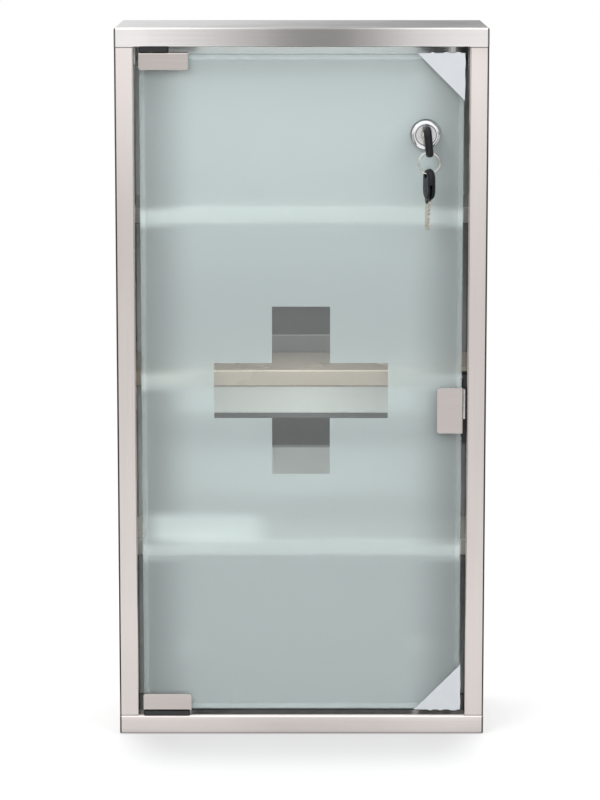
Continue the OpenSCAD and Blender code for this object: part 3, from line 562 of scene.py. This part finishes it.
# Painted light and shade on the back panel's inner face; its outer face has one even level
def backPaintedLight(tree):
    s = backSet
    x, y, z = axesOf(tree)
    low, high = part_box("back_panel")
    aside = sizeOf(tree, x)
    near = ramp(tree, aside, *s["bandHalf"], 1.0, 0.0)
    beyond = stepUp(tree, aside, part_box("door_glass")[1].x - s["behindFrame"], s["behindFrame"])
    channel = ramp(tree, calc(tree, "GREATER_THAN", x, 0.0), 0.0, 1.0, s["channelLeft"], s["channelRight"])
    total = either(tree, beyond, levels(tree, z, low.z, high.z, s["column"]), channel)
    for bottom, top, level in s["bands"]:
        here = product(tree, between(tree, z, bottom, top, s["bandSoft"]), near)
        total = either(tree, here, total, level)
    return either(tree, backOutside(tree, y), total, s["outside"])


def backRough(tree):
    s = backSet
    y, z = axesOf(tree)[1:]
    inside = ramp(tree, z, *s["brightFrom"], *s["rough"])
    return calc(tree, "MINIMUM", inside, ramp(tree, backOutside(tree, y), 0.0, 1.0, 1.0, s["outsideRough"]))


def backMetal(tree):
    s = backSet
    y, z = axesOf(tree)[1:]
    return calc(tree, "MAXIMUM", ramp(tree, z, *s["brightFrom"], *s["metal"]), backOutside(tree, y))


# Each shelf has painted light and shade across its top, along its front lip and on the fold between them
shelfSet = {
    "rough": 0.25,
    "metal": 0.1,
    "cloud": 0.015,
    "endGap": 0.0165,         # painted shade: the lip is darker in the gap beside the glass
    "endLevel": 0.45,
    "endSoft": 0.0008,
    "lipTop": 0.0006,
    "foldDown": 0.0009,
    "foldBack": 0.0015,
    "lipRise": [(0.0, 0.25), (0.05, 0.4), (0.09, 1.0), (1.0, 1.0)],
    "upper_shelf": {
        "colour": (0.60, 0.59, 0.55, 1), "fold": 1.5,
        "depth": [(0.0, 1.0), (1.0, 0.9)], "across": [(0.0, 1.0), (1.0, 0.8)],
        "lip": [(0.0, 1.12), (0.12, 1.08), (0.25, 0.8), (0.75, 0.72), (0.88, 0.92), (1.0, 1.0)]},
    "middle_shelf": {
        # the middle shelf's beige is painted reflection, matched to how it looks through the clear cross
        "colour": (0.64, 0.545, 0.46, 1), "fold": 1.1,
        "depth": [(0.0, 1.0), (0.5, 1.0), (1.0, 0.9)], "across": [(0.0, 0.9), (1.0, 0.9)],
        "lip": [(0.0, 1.15), (0.12, 1.1), (0.2, 0.8), (0.24, 0.49), (0.7, 0.49), (1.0, 0.5)]},
    "lower_shelf": {
        "colour": (0.60, 0.59, 0.55, 1), "fold": 1.5,
        "depth": [(0.0, 1.0), (1.0, 0.9)],
        "across": [(0.0, 1.85), (0.12, 1.8), (0.3, 1.6), (0.38, 0.95), (0.45, 0.86), (1.0, 0.85)],
        "lip": [(0.0, 1.4), (0.12, 1.34), (0.3, 1.0), (0.7, 1.0), (0.88, 1.12), (1.0, 1.25)]},
}
shelfNames = [name for name in shelfSet if name.endswith("_shelf")]


def shelfSheet(name):
    s = shelfSet
    own = s[name]

    # Painted light and shade: levels across the top and along the lip, painted shade at the lip's ends and
    # lower edge, a painted highlight on the fold
    def paintedLight(tree):
        x, y, z = axesOf(tree)
        low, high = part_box(name)
        depth = levels(tree, y, low.y, high.y, own["depth"])
        top = product(tree, depth, levels(tree, x, low.x, high.x, own["across"]))
        clear = between(tree, x, low.x + s["endGap"], high.x - s["endGap"], s["endSoft"])
        lip = product(tree, levels(tree, x, low.x, high.x, own["lip"]),
                      ramp(tree, clear, 0.0, 1.0, s["endLevel"], 1.0),
                      levels(tree, z, low.z, high.z, s["lipRise"]))
        flat = either(tree, stepUp(tree, z, high.z - s["lipTop"], softEdge), lip, top)
        fold = product(tree, stepUp(tree, z, high.z - s["foldDown"], fineEdge),
                       stepDown(tree, y, low.y + s["foldBack"], fineEdge), clear)
        return either(tree, fold, flat, own["fold"])

    return satinSheet(name + "Steel", own["colour"], "x", paintedLight, s["rough"], s["metal"], cloud=s["cloud"])


dress(["left_side", "right_side"], satinSheet("stileSteel", sideSet["colour"], "z", sidePaintedLight))
dress(["top_panel"], satinSheet("topSteel", topSet["colour"], "x", topPaintedLight, metal=topMetal, paintedReflection=topPaintedReflection))
dress(["bottom_panel"], satinSheet("bottomSteel", bottomSet["colour"], "x", bottomPaintedLight, metal=bottomMetal))
dress(["back_panel"], satinSheet("backSteel", backSet["colour"], "z", backPaintedLight, backRough, backMetal,
                                 cloud=backSet["cloud"]))
for shelfName in shelfNames:
    dress([shelfName], shelfSheet(shelfName))
dress(["upper_clamp", "lower_clamp", "striker_clip"], satinSheet("clampSteel", (0.56, 0.515, 0.495, 1), "x"))
print("sheets dressed")


# Small plated and polished metal; a finish with no nodes is for a piece made further down
metalSet = {
    "platedSteel": {"colour": (0.60, 0.60, 0.61, 1), "rough": 0.28,
                    "nodes": ["back_rivets", "shelf_studs", "catch_poles", "catch_screws",
                              "upper_pivot", "lower_pivot", "clamp_screws", "lock_washer",
                              "lock_nut", "lock_cam", "cam_screw"]},
    "chromePlate": {"colour": (0.84, 0.84, 0.85, 1), "rough": 0.1, "speckle": 200, "nodes": ["lock_body"]},
    "ringWire": {"colour": (0.80, 0.76, 0.70, 1), "rough": 0.2},
    "hubNickel": {"colour": (0.78, 0.70, 0.62, 1), "rough": 0.22},
}


def plainMetal(name, colour, rough, speckle=400):
    mat, tree = newTree(name)
    grain = noiseAt(tree, speckle)
    cloud = noiseAt(tree, 60)
    colourOut = eitherColour(tree, ramp(tree, cloud, 0.35, 0.65), dimmed(colour, 0.86), colour)
    roughOut = ramp(tree, grain, 0.3, 0.7, rough * 0.8, rough * 1.25)
    return endWith(mat, tree, principled(
        tree, Base_Color=colourOut, Metallic=1.0, Roughness=roughOut,
        Normal=bumpFrom(tree, grain, 0.12, 0.00003)))


# Moulded and soft parts
mouldedSet = {
    "rivetBlack": {"colour": (0.01, 0.0105, 0.012, 1), "rough": 0.35, "nodes": ["spare_rivet"]},
    "headPlastic": {"colour": (0.007, 0.0075, 0.009, 1), "rough": 0.3, "shine": 0.3,
                    "nodes": ["key_head", "spare_head"]},
    "blackNylon": {"colour": (0.012, 0.012, 0.013, 1), "rough": 0.5,
                   "nodes": ["upper_bush", "lower_bush", "catch_housing"]},
    "blackRubber": {"colour": (0.014, 0.014, 0.014, 1), "rough": 0.75,
                    "nodes": ["upper_pad", "lower_pad", "lock_gasket"]},
    "ferrite": {"colour": (0.05, 0.05, 0.054, 1), "rough": 0.6, "nodes": ["catch_magnet"]},
    "linerStrip": {"colour": (0.62, 0.66, 0.66, 1), "rough": 0.3, "nodes": ["striker_liner"]},
    "guardFilm": {"colour": (0.55, 0.575, 0.60, 1), "rough": 0.4, "grain": 500,
                  "depth": 0.00002, "worn": 1.02},
}


def moulded(name, colour, rough, grain=1800, depth=0.00004, worn=1.25, shine=0.5):
    mat, tree = newTree(name)
    fine = noiseAt(tree, grain, 2.0)
    cloud = noiseAt(tree, 120)
    colourOut = eitherColour(tree, ramp(tree, cloud, 0.4, 0.7), colour, dimmed(colour, worn))
    return endWith(mat, tree, principled(
        tree, Base_Color=colourOut, Roughness=ramp(tree, cloud, 0.3, 0.7, rough * 0.85, rough * 1.15),
        Specular_IOR_Level=shine, Normal=bumpFrom(tree, fine, 0.25, depth)))


# The plug's rim is painted dark: painted shade in the gap around it
plugSet = {"colour": (0.66, 0.66, 0.67, 1), "gap": (0.06, 0.055, 0.055, 1),
           "gapWide": 0.0006, "rough": (0.16, 0.26)}


def plugNickel():
    s = plugSet
    mat, tree = newTree("plugNickel")
    x, z = axesOf(tree)[::2]
    middle = middleOf("lock_plug")
    across = calc(tree, "SUBTRACT", x, middle.x)
    up = calc(tree, "SUBTRACT", z, middle.z)
    squares = calc(tree, "ADD", product(tree, across, across), product(tree, up, up))
    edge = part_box("lock_plug")[1].x - middle.x - s["gapWide"]
    rim = stepUp(tree, calc(tree, "SQRT", squares), edge, hairEdge)
    grain = noiseAt(tree, 300)
    return endWith(mat, tree, principled(
        tree, Base_Color=eitherColour(tree, rim, s["colour"], s["gap"]), Metallic=1.0,
        Roughness=ramp(tree, grain, 0.3, 0.7, *s["rough"]), Normal=bumpFrom(tree, grain, 0.1, 0.00003)))


# A blade is nickel silver, and black where its round end turns inside the head
bladeSet = {"colour": (0.72, 0.66, 0.58, 1), "hub": (0.01, 0.0105, 0.012, 1), "rough": (0.2, 0.32),
            "hubReach": 0.0082, "spareReach": 0.0084, "split": 0.011, "splitSoft": 0.001}


def bladeNickel():
    s = bladeSet
    mat, tree = newTree("bladeNickel")
    y, z = axesOf(tree)[1:]
    spareHub = middleOf("spare_rivet")
    lockHub = middleOf("key_rivet")
    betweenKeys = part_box("key_rivet")[0].z - s["split"]
    spare = product(tree, stepUp(tree, z, spareHub.z - s["spareReach"], fineEdge),
                    stepDown(tree, z, betweenKeys, s["splitSoft"]))
    lock = product(tree, stepDown(tree, y, lockHub.y + s["hubReach"], fineEdge),
                   stepUp(tree, z, betweenKeys, s["splitSoft"]))
    hub = calc(tree, "MAXIMUM", spare, lock)
    grain = noiseAt(tree, 900)
    return endWith(mat, tree, principled(
        tree, Base_Color=eitherColour(tree, hub, s["colour"], s["hub"]),
        Metallic=ramp(tree, hub, 0.0, 1.0, 1.0, 0.0), Roughness=ramp(tree, grain, 0.3, 0.7, *s["rough"]),
        Normal=bumpFrom(tree, grain, 0.1, 0.00003)))


finishes = {}
for maker, table in ((plainMetal, metalSet), (moulded, mouldedSet)):
    for finish, values in table.items():
        looks = {key: value for key, value in values.items() if key != "nodes"}
        finishes[finish] = maker(finish, **looks)
        dress(values.get("nodes", []), finishes[finish])
dress(["lock_plug"], plugNickel())
dress(["key_blade", "spare_blade"], bladeNickel())
print("fittings dressed")


# The pane is frosted on its rear face, but for a clear cross and a narrow clear margin
paneSet = {
    "crossX": -0.0005, "crossZ": 0.2913,
    "armWidth": 0.0478, "barHeight": 0.0460,
    "crossWidth": 0.1436, "crossHeight": 0.1400,
    "margin": 0.0042,
    "soft": 0.0002,
    "clear": (0.95, 0.985, 0.975, 1),
    "clearRough": 0.02,
    "frost": (0.712, 0.80, 0.802, 1),
    "frostRough": 0.34,
    "frostThrough": 0.50,     # how much light passes the frost
    "marginThrough": 0.50,
    # painted light: the clear margin is lighter than the frost
    "marginLevel": 1.12,
    "shadow": (0.98, 1.0, 0.99, 1),
    # painted light and shade up the frost: darker at the bottom, lightest high up, dark at its top edge
    "upward": [(0.0, 0.7), (0.25, 0.8), (0.6, 0.8), (0.75, 0.9), (0.88, 1.0), (0.96, 0.9), (1.0, 0.4)],
    "sideFrom": 0.085,        # painted shade darkens the frost towards its sides, less so at the shelves' lips
    "sideLevel": 0.54,
    "lipLift": 0.8,
    "patchX": (-0.124, -0.034), "patchZ": (0.165, 0.187),
    "patchSoftX": 0.012, "patchSoftZ": 0.005,
    "patchLevel": 1.03,       # painted light on the glass in front of the lit lower shelf
}


def clearCross(tree, x, z):
    s = paneSet
    arm = product(tree, within(tree, x, s["crossX"], s["armWidth"] / 2, s["soft"]),
                  within(tree, z, s["crossZ"], s["crossHeight"] / 2, s["soft"]))
    bar = product(tree, within(tree, x, s["crossX"], s["crossWidth"] / 2, s["soft"]),
                  within(tree, z, s["crossZ"], s["barHeight"] / 2, s["soft"]))
    return calc(tree, "MAXIMUM", arm, bar)


# Painted light and shade on the frost: up the pane, towards its sides, lifted at the shelves' lips, with a
# painted patch of light in front of the lower shelf
def frostShade(tree, x, z):
    s = paneSet
    low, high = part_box("door_glass")
    atLip = 0.0
    for name in shelfNames:
        lipLow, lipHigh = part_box(name)
        here = within(tree, z, (lipLow.z + lipHigh.z) / 2, (lipHigh.z - lipLow.z) / 2, 0.004)
        atLip = calc(tree, "MAXIMUM", atLip, here)
    atLipLevel = s["sideLevel"] + (1 - s["sideLevel"]) * s["lipLift"]
    edgeLevel = ramp(tree, atLip, 0.0, 1.0, s["sideLevel"], atLipLevel)
    sides = ramp(tree, sizeOf(tree, x), s["sideFrom"], high.x, 1.0, edgeLevel)
    shade = product(tree, levels(tree, z, low.z, high.z, s["upward"]), sides)
    patch = product(tree, between(tree, z, *s["patchZ"], s["patchSoftZ"]),
                    between(tree, x, *s["patchX"], s["patchSoftX"]))
    return either(tree, patch, shade, s["patchLevel"])


def frostedGlass():
    s = paneSet
    mat, tree = newTree("frostedGlass")
    low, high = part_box("door_glass")
    middle = middleOf("door_glass")
    x, y, z = axesOf(tree)
    rear = calc(tree, "GREATER_THAN", y, high.y - 0.0003)
    field = product(tree, within(tree, x, middle.x, (high.x - low.x) / 2 - s["margin"], s["soft"]),
                    within(tree, z, middle.z, (high.z - low.z) / 2 - s["margin"], s["soft"]))
    frost = product(tree, field, rear, calc(tree, "SUBTRACT", 1.0, clearCross(tree, x, z)))
    margin = product(tree, calc(tree, "SUBTRACT", 1.0, field), rear)

    frostColour = scaled(tree, s["frost"], frostShade(tree, x, z))
    colourOut = eitherColour(tree, margin, eitherColour(tree, frost, s["clear"], frostColour),
                             scaled(tree, frostColour, s["marginLevel"]))
    grain = ramp(tree, noiseAt(tree, 2200, 2.0), 0.3, 0.7, s["frostRough"] * 0.9, s["frostRough"] * 1.1)
    roughOut = calc(tree, "MAXIMUM", product(tree, grain, frost), s["clearRough"])
    through = either(tree, margin, ramp(tree, frost, 0.0, 1.0, 1.0, s["frostThrough"]), s["marginThrough"])
    body = principled(tree, Base_Color=colourOut, Roughness=roughOut, Transmission_Weight=through, IOR=1.5)

    lampRay = addNode(tree, "ShaderNodeLightPath").outputs["Is Shadow Ray"]
    passing = addNode(tree, "ShaderNodeBsdfTransparent", {"Color": s["shadow"]}).outputs[0]
    shader = addNode(tree, "ShaderNodeMixShader", {0: lampRay, 1: body, 2: passing}).outputs[0]
    return endWith(mat, tree, shader)


dress(["door_glass"], frostedGlass())
print("glass dressed")


def addPiece(name, mesh, mat, body, node, smooth=True):
    mesh.materials.append(mat)
    for face in mesh.polygons:
        face.use_smooth = smooth
    piece = bpy.data.objects.new(name, mesh)
    scene.collection.objects.link(piece)
    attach(piece, body)
    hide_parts(node)


# A closed solid through rings of points, with a flat cap at each end
def ringSolid(name, rings):
    shape = bmesh.new()
    rows = [[shape.verts.new(point) for point in ring] for ring in rings]
    count = len(rings[0])
    for near, far in zip(rows, rows[1:]):
        for i in range(count):
            j = (i + 1) % count
            shape.faces.new((near[i], near[j], far[j], far[i]))
    shape.faces.new(list(reversed(rows[0])))
    shape.faces.new(rows[-1])
    return meshFrom(name, shape)


def meshFrom(name, shape):
    bmesh.ops.recalc_face_normals(shape, faces=shape.faces)
    mesh = bpy.data.meshes.new(name)
    shape.to_mesh(mesh)
    shape.free()
    return mesh


def circleOf(count):
    return [2 * math.pi * step / count for step in range(count)]


# A corner guard is thin film folded over the glass corner, with a few soft waves along its rim
guardSet = {
    "film": 0.0003,
    "steps": 60,
    "topWave": 0.8,           # wave heights in mm
    "sideWave": 0.3,
    "upper_guard": {"top": [(104.8, 108.2), (115.0, 120.4), (124.5, 130.0)],
                    "side": [(558.0, 566.0), (540.0, 550.0)]},
    "lower_guard": {"top": [(106.0, 110.0), (114.5, 119.0), (123.5, 131.0)],
                    "side": [(24.0, 31.0), (38.0, 46.0)]},
}


def waveAt(place, waves, height):
    for start, stop in waves:
        if start < place / mm < stop:
            return math.sin(math.pi * (place / mm - start) / (stop - start)) ** 0.6 * height * mm
    return 0.0


def addPrism(shape, outline, nearY, farY):
    front = [shape.verts.new((x, nearY, z)) for x, z in outline]
    rear = [shape.verts.new((x, farY, z)) for x, z in outline]
    shape.faces.new(front)
    shape.faces.new(list(reversed(rear)))
    for i in range(len(outline)):
        j = (i + 1) % len(outline)
        shape.faces.new((front[i], rear[i], rear[j], front[j]))


def cornerGuard(name, node, way):
    s = guardSet
    low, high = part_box(node)
    edgeZ, farZ = (high.z, low.z) if way > 0 else (low.z, high.z)
    film = s["film"]
    steps = s["steps"]
    rim = []
    inner = []
    for i in range(steps + 1):
        x = low.x + (high.x - low.x) * i / steps
        z = edgeZ + way * waveAt(x, s[node]["top"], s["topWave"])
        rim.append((x, z))
        inner.append((min(x, high.x - film), z - way * film))
    for i in range(1, steps + 1):
        z = edgeZ + (farZ - edgeZ) * i / steps
        x = high.x + waveAt(z, s[node]["side"], s["sideWave"])
        rim.append((x, z))
        inner.append((x - film, z))
    shape = bmesh.new()
    addPrism(shape, rim, low.y, low.y + film)
    addPrism(shape, rim, high.y - film, high.y)
    for i in range(len(rim) - 1):
        addPrism(shape, [rim[i], rim[i + 1], inner[i + 1], inner[i]], low.y + film, high.y - film)
    mesh = meshFrom(name, shape)
    addPiece(name, mesh, finishes["guardFilm"], "door", node, smooth=False)


# The split ring is two turns of wire, one behind the other, that cross over at the split
ringSet = {"turns": 2.0, "wire": 0.00052, "reach": 0.00875, "spread": 0.00012, "apart": 0.00053,
           "steps": 260, "sides": 14, "startAngle": 200, "crossFrom": 0.42, "crossOver": 0.16,
           "endEase": 60, "endThin": 0.35}


def splitRing():
    s = ringSet
    middle = middleOf("key_ring")
    depthWay = Vector((0, 1, 0))
    rings = []
    for i in range(s["steps"] + 1):
        share = i / s["steps"]
        turn = math.radians(s["startAngle"]) + 2 * math.pi * s["turns"] * share
        side = -1 + 2 * min(1.0, max(0.0, (share - s["crossFrom"]) / s["crossOver"]))
        out = Vector((math.cos(turn), 0, math.sin(turn)))
        centre = middle + out * (s["reach"] + side * s["spread"]) + depthWay * side * s["apart"]
        ease = min(1.0, min(share, 1 - share) * s["endEase"] + s["endThin"])
        rings.append([centre + (out * math.cos(a) + depthWay * math.sin(a)) * s["wire"] * ease
                      for a in circleOf(s["sides"])])
    mesh = ringSolid("splitRing", rings)
    addPiece("splitRing", mesh, finishes["ringWire"], "ring", "key_ring")


# The moulded neck between a key's head and its blade: reach, thickness, width and shift, in mm
neckSet = {
    "sections": [(8.3, 4.0, 6.6, 0.35), (9.0, 3.8, 6.2, 0.3), (9.8, 3.3, 5.6, 0.15), (10.4, 2.8, 5.0, 0.05),
                 (10.7, 2.3, 4.4, 0.0)],
    "corner": 1.1,
    "cornerSteps": 4,
    "keyLean": 6,
    "spareTurn": 18,
}


def softLoop(centre, across, along, thick, wide, corner):
    points = []
    for signX, signY, first in ((1, 1, 0), (-1, 1, 90), (-1, -1, 180), (1, -1, 270)):
        for step in range(neckSet["cornerSteps"] + 1):
            a = math.radians(first + 90 / neckSet["cornerSteps"] * step)
            u = signX * (thick / 2 - corner) + corner * math.cos(a)
            v = signY * (wide / 2 - corner) + corner * math.sin(a)
            points.append(centre + (across * u + along * v) * mm)
    return points


def keyNeck(name, node, body, pivot, across, along, lead):
    rings = []
    for reach, thick, wide, shift in neckSet["sections"]:
        centre = pivot + (lead * reach + across * shift) * mm
        rings.append(softLoop(centre, across, along, thick, wide, min(neckSet["corner"], thick / 2.2)))
    mesh = ringSolid(name, rings)
    addPiece(name, mesh, finishes["headPlastic"], body, node)


# The rivet of the lock's key has a domed head on one cheek and a shank through both, in mm
rivetSet = {"reach": 3.9, "rise": 1.7, "nearCheek": -2.1, "farCheek": 4.3, "shank": 1.4, "tip": 0.05,
            "rows": 8, "sides": 40}


def hubRivet(pivot, across):
    s = rivetSet
    along = Vector((0, 1, 0))
    third = across.cross(along)
    sections = []
    for i in range(s["rows"] + 1):
        a = math.pi / 2 * (1 - i / s["rows"])
        sections.append((s["nearCheek"] - s["rise"] * math.sin(a), max(s["tip"], s["reach"] * math.cos(a))))
    sections += [(s["nearCheek"], s["shank"]), (s["farCheek"], s["shank"])]
    rings = []
    for place, reach in sections:
        centre = pivot + across * place * mm
        rings.append([centre + (along * math.cos(a) + third * math.sin(a)) * reach * mm
                      for a in circleOf(s["sides"])])
    mesh = ringSolid("hubRivet", rings)
    addPiece("hubRivet", mesh, finishes["hubNickel"], "bow", "key_rivet")


cornerGuard("upperGuardFilm", "upper_guard", 1)
cornerGuard("lowerGuardFilm", "lower_guard", -1)
print("guards folded")

lean = math.radians(neckSet["keyLean"])
turned = math.radians(neckSet["spareTurn"])
lockAcross = Vector((math.cos(lean), 0, math.sin(lean)))
lockAlong = Vector((-math.sin(lean), 0, math.cos(lean)))
spareAcross = Vector((math.cos(turned), math.sin(turned), 0))
spareAlong = Vector((-math.sin(turned), math.cos(turned), 0))
splitRing()
keyNeck("keyNeck", "key_collar", "key", jointPlace("key_fold"), lockAcross, lockAlong, Vector((0, 1, 0)))
keyNeck("spareNeck", "spare_collar", "spare_key", jointPlace("spare_fold"), spareAcross, spareAlong,
        Vector((0, 0, -1)))
hubRivet(jointPlace("key_fold"), lockAcross)
print("keys finished")

scene.view_settings.view_transform = "Standard"
